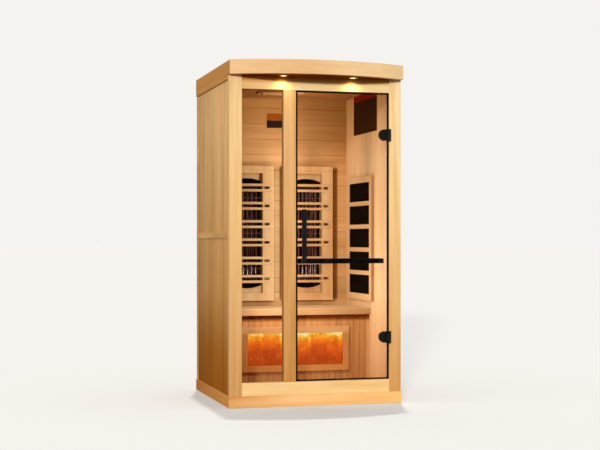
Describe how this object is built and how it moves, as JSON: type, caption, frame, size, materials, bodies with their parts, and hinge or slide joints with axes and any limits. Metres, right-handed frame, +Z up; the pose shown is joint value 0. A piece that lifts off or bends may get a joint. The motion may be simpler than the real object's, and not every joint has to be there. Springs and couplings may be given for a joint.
{
  "type": "infrared sauna cabin",
  "caption": "Wooden one-person infrared sauna cabin with a glass door, fixed side window, slatted heaters, bench, backlit salt window and bowed roof with downlights.",
  "frame": {"origin": "middle of the base's underside, on the floor", "axes": "+X to the right seen from the front, +Y from the front face to the back wall, +Z up"},
  "size_m": [0.998, 1.089, 1.9],
  "materials": {
    "frame_wood": "sanded pale softwood",
    "cladding_wood": "sanded softwood boards",
    "lining_wood": "sanded softwood boards",
    "roof_wood": "sanded pale softwood",
    "heater_wood": "sanded pale softwood",
    "bench_wood": "sanded softwood",
    "clear_glass": "clear tempered glass",
    "black_metal": "matt black powder coat",
    "black_rubber": "matt black seal",
    "bright_metal": "plain bright metal",
    "heater_rod": "dark red emitter coating",
    "carbon": "matt black carbon panel",
    "salt": "translucent backlit salt block",
    "lamp_lens": "lit diffuser",
    "black_plastic": "satin black",
    "button_plastic": "satin grey",
    "grey_metal": "galvanised box"
  },
  "bodies": {
    "cabin": {"plinth": "frame_wood", "floor_panel": "lining_wood", "left_wall": "cladding_wood", "right_wall": "cladding_wood", "left_belt_rail": "cladding_wood", "right_belt_rail": "cladding_wood", "back_wall_lining": "lining_wood", "back_wall_cladding": "cladding_wood", "left_post": "frame_wood", "mullion": "frame_wood", "right_post": "frame_wood", "top_rail": "frame_wood", "bottom_rail": "frame_wood", "window_pane": "clear_glass", "upper_hinge_leaf": "black_metal", "lower_hinge_leaf": "black_metal", "fascia": "roof_wood", "soffit": "roof_wood", "left_roof_rail": "roof_wood", "right_roof_rail": "roof_wood", "back_roof_rail": "roof_wood", "ceiling_panel": "lining_wood", "roof_cover": "roof_wood", "left_downlight": "bright_metal", "right_downlight": "bright_metal", "left_downlight_lens": "lamp_lens", "right_downlight_lens": "lamp_lens", "vent_track": "heater_wood", "power_supply": "grey_metal", "mains_inlet": "black_plastic", "left_heater_guard": "heater_wood", "right_heater_guard": "heater_wood", "left_heater_reflector": "black_metal", "right_heater_reflector": "black_metal", "left_heater_rods": "heater_rod", "right_heater_rods": "heater_rod", "left_panel_frame": "heater_wood", "right_panel_frame": "heater_wood", "left_carbon_panel": "carbon", "right_carbon_panel": "carbon", "bench_seat": "bench_wood", "seat_cleat": "bench_wood", "bench_front": "bench_wood", "salt_frame": "bench_wood", "salt_tiles": "salt", "salt_light_box": "black_plastic", "control_panel": "black_plastic"},
    "door": {"door_glass": "clear_glass", "door_seal": "black_rubber", "door_handle": "black_metal", "towel_bar": "black_metal", "upper_hinge_clamp": "black_metal", "upper_hinge_back_plate": "black_metal", "lower_hinge_clamp": "black_metal", "lower_hinge_back_plate": "black_metal"},
    "vent_cover": {"vent_cover": "heater_wood"},
    "power_button": {"power_button": "button_plastic"},
    "light_button": {"light_button": "button_plastic"},
    "lower_button": {"lower_button": "button_plastic"},
    "raise_button": {"raise_button": "button_plastic"}
  },
  "joints": [
    {"name": "door_swing", "type": "hinge", "parent": "cabin", "child": "door", "pos_m": [0.423, -0.479, 0.941], "axis": [0, 0, 1], "range_deg": [0, 100]},
    {"name": "vent_slide", "type": "slide", "parent": "cabin", "child": "vent_cover", "axis": [1, 0, 0], "range_m": [0, 0.1]},
    {"name": "power_press", "type": "slide", "parent": "cabin", "child": "power_button", "axis": [-1, 0, 0], "range_m": [0, 0.0015], "stiffness_N_per_m": 600},
    {"name": "light_press", "type": "slide", "parent": "cabin", "child": "light_button", "axis": [-1, 0, 0], "range_m": [0, 0.0015], "stiffness_N_per_m": 600},
    {"name": "lower_press", "type": "slide", "parent": "cabin", "child": "lower_button", "axis": [-1, 0, 0], "range_m": [0, 0.0015], "stiffness_N_per_m": 600},
    {"name": "raise_press", "type": "slide", "parent": "cabin", "child": "raise_button", "axis": [-1, 0, 0], "range_m": [0, 0.0015], "stiffness_N_per_m": 600}
  ]
}
